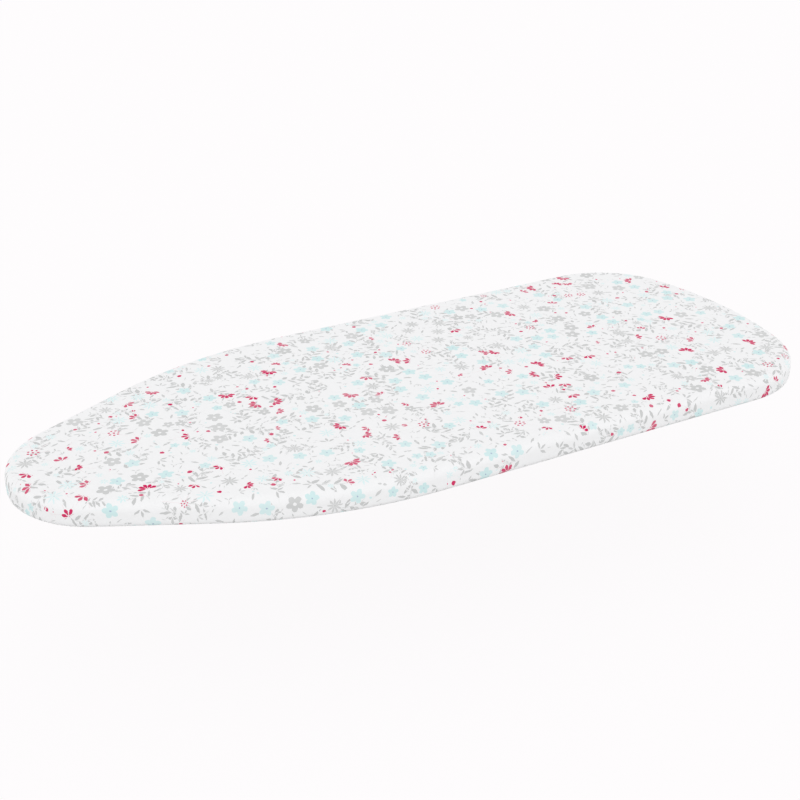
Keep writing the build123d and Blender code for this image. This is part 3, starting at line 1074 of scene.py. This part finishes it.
def new_piece(
    name: str, points: list[Vector], faces: list[tuple[int, ...]], finish: bpy.types.Material
) -> bpy.types.Object:
    """Makes a smooth-shaded mesh object.

    Args:
        name: The object's name.
        points: Its vertices, in metres.
        faces: Vertex indices of each face.
        finish: Its material.

    Returns:
        The object, linked to the scene.
    """
    mesh = bpy.data.meshes.new(name)
    mesh.from_pydata([tuple(p) for p in points], [], faces)
    mesh.validate()
    mesh.shade_smooth()
    mesh.materials.append(finish)
    piece = bpy.data.objects.new(name, mesh)
    bpy.context.scene.collection.objects.link(piece)
    return piece


@dataclass
class Cover:
    """The printed cloth: stretched over the top and edge, and gathered underneath by the hem's elastic.

    Attributes:
        outline: The board's planform.
        path: The cloth's way round the edge.
        spacing: How far apart the threads of the model are along the outline.
        grid: How far apart they are on the flat top.
        thick: The cloth's thickness.
        spare: How much wider than the board the cut is at the hem, as a share of the way under.
        pleat: The length of one gather along the elastic, on average.
        drift: The way along the elastic over which gathers grow and shrink, in millimetres to a radian.
        depth: The depth of the gathers along the straight hem.
        corner_depth: How much deeper they are where the outline turns as tightly as the tail's corners.
        gathered: Where the gathers start, as a share of the way from the edge to the seam.
        casing_width: The width of the hem casing.
        casing_height: Its height.
        limit: How far the cloth may move from where it was laid.
        frames: How long the cloth settles.
        clear: How far the cloth's outside stays off the former while it settles.
        lip: How far in the steel rim's lip reaches.
        under_lip: How far the cloth may rise where the lip lies on it.
    """

    outline: Outline
    path: EdgePath
    spacing: float = 3.0
    grid: float = 7.0
    thick: float = 0.5
    spare: float = 0.35
    pleat: float = 19.3548
    drift: float = 31.0
    depth: float = 0.25
    corner_depth: float = 1.35
    gathered: float = 0.45
    casing_width: float = 7.0
    casing_height: float = 3.5
    limit: float = 2.6
    frames: int = 24
    clear: float = 0.9
    lip: float = 14.5
    under_lip: float = 0.4

    def __post_init__(self) -> None:
        """Lays out the rings that the cloth is made of."""
        self.ring = self.outline.ring(self.spacing)
        self.edge = self.path.points()
        self.count = len(self.ring)

    def crowding(self, station: int) -> float:
        """How tightly the outline turns at a station, in radians per millimetre."""
        before = self.ring[station - 1].outward
        after = self.ring[(station + 1) % self.count].outward
        return before.angle(after) / (2 * self.spacing)

    def casing(self) -> list[tuple[float, float, float]]:
        """The hem casing's path beyond the seam: round the elastic and back to the seam."""
        seam, base, along = self.edge[-1]
        high, round_end = self.casing_height, self.casing_height / 2
        flat = self.casing_width - round_end
        runs, turns = 3, 4
        loop = []
        for i in range(1, runs + 1):
            loop.append((seam + flat * i / runs, base))
        for i in range(1, turns + 1):
            angle = math.pi * i / turns
            loop.append((seam + flat + round_end * math.sin(angle), base + round_end * (1 - math.cos(angle))))
        # The upper side ends half a millimetre short of the seam, and its raw edge turns down inside.
        for i in range(1, runs + 1):
            loop.append((seam + flat * (1 - i / runs) + 0.5 * i / runs, base + high))
        loop.append((seam + 0.6, base + high * 0.35))
        found = []
        last = (seam, base)
        for inset, height in loop:
            along += math.dist(last, (inset, height))
            found.append((inset, height, along))
            last = (inset, height)
        return found

    def gather(self, station: int, inset: float) -> float:
        """How far the gathered cloth rises or falls at a place near the elastic, in millimetres."""
        way_in = inset / self.path.seam_inset
        share = max(0.0, min(1.0, (way_in - self.gathered) / (1 - self.gathered)))
        crowd = min(1.0, self.crowding(station) * self.outline.corner_radius)
        along = station * self.spacing
        wave = math.sin(2 * math.pi * along / self.pleat + 1.3 * math.sin(along / self.drift))
        return wave * share * share * (self.depth + self.corner_depth * crowd)

    def laid(self) -> tuple[list[Vector], list[Vector], list[tuple[float, float]]]:
        """Lays the edge of the cloth round the board.

        Returns:
            The points round the edge, the same points in the wider shape that the cloth was cut to, and each
            point's place on the print. All in millimetres.
        """
        rings = self.edge + self.casing()
        under = self.path.bottom + self.casing_height + 0.01
        places, cut, prints = [], [], []
        fall = [0.0]
        for (inset, height, along), (inset_2, height_2, along_2) in zip(rings, rings[1:]):
            step = along_2 - along
            low = height_2 < under and inset_2 > self.path.bottom_round
            inward = (inset_2 - inset) * (1 - self.spare if low else 1.0)
            fall.append(fall[-1] + math.sqrt(max(step * step - inward * inward, 0.0)))
        for index, (inset, height, along) in enumerate(rings):
            beyond = max(0.0, inset - self.path.bottom_round) * self.spare if height < under else 0.0
            for number, station in enumerate(self.ring):
                lift = self.gather(number, inset)
                flat = station.inset(inset)
                places.append(Vector((flat.x, flat.y, height + lift)))
                spare = station.inset(inset - beyond)
                cut.append(Vector((spare.x, spare.y, self.path.top - fall[index])))
                printed = station.inset(self.path.top_round - along)
                prints.append((printed.x, printed.y))
        return places, cut, prints

    def edge_faces(self, rings: int) -> list[tuple[int, ...]]:
        """The faces between neighbouring rings."""
        faces = []
        for r in range(rings - 1):
            for i in range(self.count):
                j = (i + 1) % self.count
                outer, inner = r * self.count, (r + 1) * self.count
                faces.append((outer + j, inner + j, inner + i, outer + i))
        return faces

    def former(self) -> bpy.types.Object:
        """The board's shape inside the cloth, which the cloth can't pass while it settles."""
        points, faces = [], []
        rings = self.edge[:-3]
        for index, (inset, height, _) in enumerate(rings):
            before, after = self.edge[max(index - 1, 0)], self.edge[index + 1]
            way = Vector((after[0] - before[0], after[1] - before[1])).normalized()
            for station in self.ring[::2]:
                flat = station.inset(inset - way.y * self.clear)
                points.append(Vector((flat.x, flat.y, height + way.x * self.clear)) * MM)
        around = len(self.ring[::2])
        for r in range(len(rings) - 1):
            for i in range(around):
                j = (i + 1) % around
                faces.append((r * around + i, (r + 1) * around + i, (r + 1) * around + j, r * around + j))
        mesh = bpy.data.meshes.new("former")
        mesh.from_pydata([tuple(p) for p in points], [], faces)
        solid = bpy.data.objects.new("former", mesh)
        bpy.context.scene.collection.objects.link(solid)
        solid.modifiers.new("stop", "COLLISION")
        solid.collision.thickness_outer = 0.0004
        solid.collision.cloth_friction = 8.0
        return solid

    def settle(self, places: list[Vector], cut: list[Vector], faces: list[tuple[int, ...]]) -> list[Vector]:
        """Lets the spare cloth buckle between the edge and the elastic, as the sewn cover does.

        Args:
            places: Where the cloth is laid, in millimetres.
            cut: The same points on the spare shape, whose lengths the cloth keeps.
            faces: The cloth's faces.

        Returns:
            Where the points come to rest, in millimetres.
        """
        mesh = bpy.data.meshes.new("settling")
        mesh.from_pydata([tuple(p * MM) for p in places], [], faces)
        cloth = bpy.data.objects.new("settling", mesh)
        bpy.context.scene.collection.objects.link(cloth)
        held = cloth.vertex_groups.new(name="held")
        seam = len(self.edge) - 1
        tight = sum(1 for _, height, _ in self.edge if height > self.path.bottom + 0.3)
        for r in range(len(places) // self.count):
            if r < tight or r >= seam - 1:
                held.add(list(range(r * self.count, (r + 1) * self.count)), 1.0, "REPLACE")
        cloth.shape_key_add(name="laid")
        flat = cloth.shape_key_add(name="cut")
        for point, place in zip(flat.data, cut):
            point.co = place * MM
        settling = cloth.modifiers.new("settling", "CLOTH")
        cotton = settling.settings
        cotton.quality = 5
        cotton.mass = 0.2
        cotton.tension_stiffness = 20
        cotton.compression_stiffness = 20
        cotton.shear_stiffness = 5
        cotton.bending_stiffness = 0.02
        cotton.tension_damping = 10
        cotton.compression_damping = 10
        cotton.vertex_group_mass = "held"
        cotton.rest_shape_key = flat
        cotton.effector_weights.gravity = 0.0
        settling.collision_settings.distance_min = 0.0005
        settling.collision_settings.use_self_collision = False
        former = self.former()
        scene = bpy.context.scene
        for number in range(1, self.frames + 1):
            scene.frame_set(number)
        worn = cloth.evaluated_get(bpy.context.evaluated_depsgraph_get())
        rested = [v.co / MM for v in worn.data.vertices]
        scene.frame_set(1)
        for used in (cloth, former):
            shape = used.data
            bpy.data.objects.remove(used)
            bpy.data.meshes.remove(shape)
        insets = [inset for inset, _, _ in self.edge + self.casing()]
        kept = []
        for number, (start, end) in enumerate(zip(places, rested)):
            way = end - start
            if way.length > self.limit:
                way *= self.limit / way.length
            if insets[number // self.count] < self.lip and start.z < self.path.bottom + self.under_lip:
                way.z = min(way.z, self.under_lip)
            kept.append(start + way)
        return kept

    def top(self) -> tuple[list[Vector], list[tuple[int, ...]]]:
        """The flat top inside the first ring, whose points come first, as triangles.

        Returns:
            Its points in millimetres and its faces.
        """
        border = [station.inset(self.path.top_round) for station in self.ring]
        inside = []
        rows = int(self.outline.width / self.grid / 2)
        columns = int(self.outline.length / self.grid)
        border_gap = self.path.top_round + self.grid * 0.75
        reach = [station.inset(border_gap) for station in self.outline.half(self.spacing)]
        for i in range(columns + 1):
            x = -self.outline.length / 2 + (i + 0.5) * self.grid
            wide = self.half_width(reach, x)
            for j in range(-rows, rows + 1):
                y = (j + (0.5 if i % 2 else 0.0)) * self.grid
                if abs(y) < wide:
                    inside.append(Vector((x, y)))
        count = len(border)
        edges = [(i, (i + 1) % count) for i in range(count)]
        made = geometry.delaunay_2d_cdt(border + inside, edges, [], 1, 1e-5)
        points = [Vector((p.x, p.y, self.path.top)) for p in made[0]]
        return points, [tuple(face) for face in made[2]]

    @staticmethod
    def half_width(reach: list[Vector], x: float) -> float:
        """The half width at x of the ring that reach holds one side of, or 0 past its ends."""
        for a, b in zip(reach, reach[1:]):
            if a.x <= x <= b.x:
                return a.y + (b.y - a.y) * (x - a.x) / max(b.x - a.x, 1e-9)
        return 0.0

    def build(self) -> bpy.types.Object:
        """Makes the cover and dresses it in its cloth."""
        places, cut, prints = self.laid()
        rings = len(places) // self.count
        faces = self.edge_faces(rings)
        places = self.settle(places, cut, faces)
        self.seam = places[(len(self.edge) - 1) * self.count : len(self.edge) * self.count]
        flat, flat_faces = self.top()
        start = len(places) - self.count
        points = list(places)
        points += flat[self.count :]
        for face in flat_faces:
            moved = tuple(i if i < self.count else i + start for i in face)
            a, b, c = (points[i] for i in moved[:3])
            up = (b - a).cross(c - a).z > 0
            faces.append(moved if up else moved[::-1])
        prints += [(p.x, p.y) for p in flat[self.count :]]
        cover = new_piece("printed_cover", [p * MM for p in points], faces, PrintedCotton().material())
        mesh = cover.data
        weave = mesh.uv_layers.new(name="cloth")
        for loop in mesh.loops:
            u, v = prints[loop.vertex_index]
            weave.data[loop.index].uv = (u * MM, v * MM)
        thick = cover.modifiers.new("cloth_thickness", "SOLIDIFY")
        thick.thickness = self.thick * MM
        thick.offset = -1.0
        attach(cover, Body.BOARD.value)
        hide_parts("cover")
        return cover


@dataclass
class HemStitching:
    """The line of stitches that closes the hem casing.

    Attributes:
        pitch: The length of a stitch and the gap after it.
        stitch: The length of thread that shows.
        thread: The thread's radius.
        proud: How far the thread's middle stands off the cloth.
        sides: How many sides the thread is modelled with.
        profile: Places along a stitch: the share of its length, and there the thread's width and how far it
            has sunk into the cloth, both as shares of its radius.
    """

    pitch: float = 3.2
    stitch: float = 2.3
    thread: float = 0.28
    proud: float = 0.1
    sides: int = 6
    profile: tuple[tuple[float, float, float], ...] = (
        (0.0, 0.45, 0.3),
        (0.18, 1.0, 0.0),
        (0.82, 1.0, 0.0),
        (1.0, 0.45, 0.3),
    )

    def build(self, seam: list[Vector]) -> bpy.types.Object:
        """Sews the stitches along the seam.

        Args:
            seam: The points of the seam, in millimetres.

        Returns:
            The thread.
        """
        spans = [(b - a).length for a, b in zip(seam, seam[1:] + seam[:1])]
        total = sum(spans)
        count = round(total / self.pitch)
        points, faces = [], []
        walked, at = 0.0, 0
        for i in range(count):
            along = total * i / count
            while walked + spans[at] < along:
                walked += spans[at]
                at += 1
            a, b = seam[at], seam[(at + 1) % len(seam)]
            start = a.lerp(b, (along - walked) / max(spans[at], 1e-9))
            way = (b - a).normalized()
            side = way.cross(Vector((0, 0, 1))).normalized()
            down = side.cross(way).normalized()
            down = down if down.z < 0 else -down
            first = len(points)
            for share, size, sink in self.profile:
                middle = start + way * self.stitch * share + down * (self.proud - sink * self.thread)
                for k in range(self.sides):
                    turn = 2 * math.pi * k / self.sides
                    rim = side * math.cos(turn) + down * math.sin(turn)
                    points.append((middle + rim * self.thread * size) * MM)
            final = len(points) - self.sides
            for base in range(first, final, self.sides):
                for k in range(self.sides):
                    n = (k + 1) % self.sides
                    faces.append((base + k, base + n, base + self.sides + n, base + self.sides + k))
            faces.append(tuple(first + k for k in range(self.sides))[::-1])
            faces.append(tuple(final + k for k in range(self.sides)))
        thread = new_piece("hem_stitching", points, faces, SewingThread().material())
        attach(thread, Body.BOARD.value)
        return thread


@dataclass
class FoamPad:
    """The foam underlay, cut to the steel top and lapped over its edge.

    Attributes:
        outline: The board's planform.
        inset: How far it stands inside the cloth's outside.
        gap: How far its underside stays off the steel top.
        round: The rounding of its upper edge.
        wall: The width of the lapped edge.
        spacing: How far apart the model's points are along the outline.
        steps: How many steps the rounding is modelled with.
    """

    outline: Outline
    inset: float = 1.3
    gap: float = 0.05
    round: float = 7.7
    wall: float = 2.5
    spacing: float = 5.0
    steps: int = 7

    def build(self) -> bpy.types.Object:
        """Makes the pad."""
        lap, top = (corner.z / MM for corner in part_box("pad"))
        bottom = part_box("top_panel")[1].z / MM + self.gap
        ring = self.outline.ring(self.spacing)
        low = top - self.round
        sweep = math.acos((lap - low) / self.round)
        path = []
        for i in range(self.steps + 1):
            angle = sweep * i / self.steps
            path.append((self.inset + self.round * (1 - math.sin(angle)), low + self.round * math.cos(angle)))
        inner = self.inset + self.wall
        path.append((inner, lap))
        path.append((inner, bottom))
        points, faces = [], []
        for inset, height in path:
            for station in ring:
                flat = station.inset(inset)
                points.append(Vector((flat.x, flat.y, height)) * MM)
        count = len(ring)
        for r in range(len(path) - 1):
            for i in range(count):
                j = (i + 1) % count
                faces.append((r * count + i, (r + 1) * count + i, (r + 1) * count + j, r * count + j))
        faces.append(tuple(range(count))[::-1])
        last = (len(path) - 1) * count
        faces.append(tuple(last + i for i in range(count)))
        pad = new_piece("foam_pad", points, faces, CellFoam().material())
        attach(pad, Body.BOARD.value)
        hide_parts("pad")
        return pad


@dataclass
class SteelTop:
    """The steel under the pad: perforated panel, rolled rim, crossbars, rail and brackets."""

    panel: tuple[str, ...] = ("top_panel", "rim", "front_crossbar", "rear_crossbar", "centre_rail")
    brackets: tuple[str, ...] = (
        "front_left_bracket",
        "front_right_bracket",
        "rear_left_bracket",
        "rear_right_bracket",
    )
    rivets: tuple[str, ...] = ("bracket_rivets", "front_pivot_rivets", "rear_pivot_rivets")
    washers: tuple[str, ...] = ("front_pivot_washers", "rear_pivot_washers")
    clips: tuple[str, ...] = ("front_clip", "rear_clip")
    elastic: tuple[str, ...] = ("hem_elastic",)

    def dress(self) -> list[str]:
        """Gives each steel and plastic node its finish, and returns their names."""
        finishes = (
            (self.panel, PowderCoatedSteel().material()),
            (self.brackets, ZincPlatedSteel().material()),
            (self.rivets, HeadedSteel().material()),
            (self.washers, MouldedPlastic("moulded_nylon", "#E9E6DB", 0.5, 1.53).material()),
            (self.clips, MouldedPlastic("moulded_polypropylene", "#DADAD6", 0.6, 1.49).material()),
            (self.elastic, BraidedElastic().material()),
        )
        return [name for names, finish in finishes for name in dress_nodes(names, finish)]


@dataclass
class FoldingLegs:
    """The two tube legs and their rubber feet."""

    tubes: tuple[str, ...] = ("front_leg", "rear_leg")
    feet: tuple[str, ...] = ("front_left_foot", "front_right_foot", "rear_left_foot", "rear_right_foot")

    def dress(self) -> list[str]:
        """Gives each tube and foot its finish, and returns their names."""
        tube = PowderCoatedSteel("powder_coated_tube", "#E6E8E9", 1.1).material()
        return dress_nodes(self.tubes, tube) + dress_nodes(self.feet, MouldedRubber().material())


def dress_nodes(names: tuple[str, ...], finish: bpy.types.Material) -> list[str]:
    """Puts a finish on nodes of the frame.

    Args:
        names: The nodes.
        finish: Their material.

    Returns:
        The names, for the log.
    """
    for name in names:
        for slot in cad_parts[name].material_slots:
            slot.material = finish
    return list(names)


# -----------------------------------------------------------------------------
# Studio
# -----------------------------------------------------------------------------


@dataclass
class Studio:
    """A white sweep with soft light from all round and a little more from the front.

    Attributes:
        floor: The height of the floor, where the feet of the opened legs stand.
        azimuth: The camera's way round the board, in degrees.
        elevation: The camera's height above the horizon, in degrees.
        distance: How far the camera is from the middle of the board.
        middle: The height that the camera aims at.
        lens: The focal length, in millimetres on a 36 mm sensor.
        shift: How far the board lies off the middle of the frame, as shares of its width.
        paper: The sweep's colour.
        matt: The share of the floor's white that depends on the light, for a faint contact shadow.
        radius: How far the sweep reaches.
        sky: The sky's strength.
        dark: Its strength below the board.
        lamp: The softbox's power, in watts.
        lamp_size: Its width and height.
        lamp_distance: How far it is from the board.
        lamp_side: How much further round than the camera it stands, in degrees.
        lamp_elevation: Its height above the horizon, in degrees.
    """

    floor: float = -0.1355
    azimuth: float = -30.25
    elevation: float = 25.72
    distance: float = 1.2502
    middle: float = 0.003
    lens: float = 62.45
    shift: tuple[float, float] = (-0.0179, 0.0055)
    paper: str = "#FEFCFD"
    matt: float = 0.06
    radius: float = 20.0
    sky: float = 1.005
    dark: float = 0.03
    lamp: float = 5.0
    lamp_size: tuple[float, float] = (3.2, 1.6)
    lamp_distance: float = 3.2
    lamp_side: float = 8.0
    lamp_elevation: float = 5.0

    @staticmethod
    def towards(azimuth: float, elevation: float) -> Vector:
        """The direction from the board to a place in the studio, from two angles in degrees."""
        a, e = math.radians(azimuth), math.radians(elevation)
        return Vector((math.sin(a) * math.cos(e), -math.cos(a) * math.cos(e), math.sin(e)))

    def camera(self) -> None:
        """Places the camera."""
        data = bpy.data.cameras.new("studio_camera")
        data.lens = self.lens
        data.sensor_width = 36.0
        data.shift_x, data.shift_y = self.shift
        data.clip_start, data.clip_end = 0.05, 60.0
        camera = bpy.data.objects.new("studio_camera", data)
        back = self.towards(self.azimuth, self.elevation)
        camera.location = Vector((0.0, 0.0, self.middle)) + back * self.distance
        camera.rotation_euler = (-back).to_track_quat("-Z", "Y").to_euler()
        bpy.context.scene.collection.objects.link(camera)
        bpy.context.scene.camera = camera

    def sweep(self) -> None:
        """Makes the white floor and the backdrop behind it, which the lens sees and the board doesn't."""
        ground = Shader(bpy.data.materials.new("paper_sweep"))
        glow = ground.add("Emission", {"Color": linear(self.paper), "Strength": 1 - self.matt})
        matt = ground.add("BsdfDiffuse", {"Color": (self.matt, self.matt, self.matt, 1.0)})
        ground_finish = ground.finish(ground.add("AddShader", [glow, matt]))
        wall = Shader(bpy.data.materials.new("paper_backdrop"))
        wall_finish = wall.finish(wall.add("Emission", {"Color": linear(self.paper), "Strength": 1.0}))
        sides, rings = 64, 9
        points = []
        for ring in range(rings):
            tilt = math.pi / 2 * ring / rings
            reach, height = self.radius * math.cos(tilt), self.radius * math.sin(tilt) + self.floor
            turns = [2 * math.pi * i / sides for i in range(sides)]
            points += [Vector((math.cos(t) * reach, math.sin(t) * reach, height)) for t in turns]
        floor = new_piece("sweep_floor", points[:sides], [tuple(range(sides))], ground_finish)
        faces = []
        for low in range(0, (rings - 1) * sides, sides):
            for i in range(sides):
                j = (i + 1) % sides
                faces.append((low + i, low + j, low + sides + j, low + sides + i))
        last = (rings - 1) * sides
        faces += [(last + i, last + (i + 1) % sides, rings * sides) for i in range(sides)]
        points.append(Vector((0, 0, self.radius + self.floor)))
        dome = new_piece("sweep_backdrop", points, faces, wall_finish)
        for stage in (floor, dome):
            stage.visible_diffuse = False
            stage.visible_shadow = False
            stage.visible_transmission = False
        dome.visible_glossy = False

    def light(self) -> None:
        """Lights the board from the whole sky, dimmer from below, with a broad lamp on the camera's side."""
        sky = Shader(bpy.data.worlds.new("soft_sky"))
        up = sky.add("SeparateXYZ", [sky.add("TexCoord").outputs["Generated"]])
        # The sky is dark below a height of -0.8 on the unit sphere, and at full strength from -0.6 up.
        level = sky.add("Math", [up.outputs["Z"], 5.0, 4.0], operation="MULTIPLY_ADD", use_clamp=True)
        below, above = (self.dark, self.dark, self.dark, 1.0), (self.sky, self.sky, self.sky, 1.0)
        colour = sky.add("Mix", {0: level.outputs[0], 6: below, 7: above}, data_type="RGBA")
        shine = sky.add("Background", {"Color": colour.outputs[2], "Strength": 1.0})
        bpy.context.scene.world = sky.finish(shine)
        data = bpy.data.lights.new("front_softbox", "AREA")
        data.shape = "RECTANGLE"
        data.size, data.size_y = self.lamp_size
        data.energy = self.lamp
        lamp = bpy.data.objects.new("front_softbox", data)
        back = self.towards(self.azimuth + self.lamp_side, self.lamp_elevation)
        lamp.location = back * self.lamp_distance
        lamp.rotation_euler = (-back).to_track_quat("-Z", "Y").to_euler()
        lamp.visible_camera = False
        bpy.context.scene.collection.objects.link(lamp)
        bpy.context.scene.view_settings.view_transform = "Standard"
        bpy.context.scene.view_settings.look = "None"

    def build(self) -> None:
        """Sets up the whole studio."""
        self.camera()
        self.sweep()
        self.light()


def main() -> None:
    """Builds the sub-assemblies in order and reports each."""
    logging.basicConfig(level=logging.INFO, format="%(name)s: %(message)s")
    low, high = (Vector(corner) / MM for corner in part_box("cover"))
    outline = Outline(length=high.x - low.x, width=high.y - low.y)
    path = EdgePath(top=high.z, bottom=low.z)
    Studio().build()
    LOG.info("studio ready")
    LOG.info("steel top: %s", ", ".join(SteelTop().dress()))
    LOG.info("legs: %s", ", ".join(FoldingLegs().dress()))
    pad = FoamPad(outline).build()
    LOG.info("%s: %d faces", pad.name, len(pad.data.polygons))
    cover = Cover(outline, path)
    cloth = cover.build()
    LOG.info("%s: %d faces", cloth.name, len(cloth.data.polygons))
    thread = HemStitching().build(cover.seam)
    LOG.info("%s: %d faces", thread.name, len(thread.data.polygons))


if __name__ == "__main__":
    main()
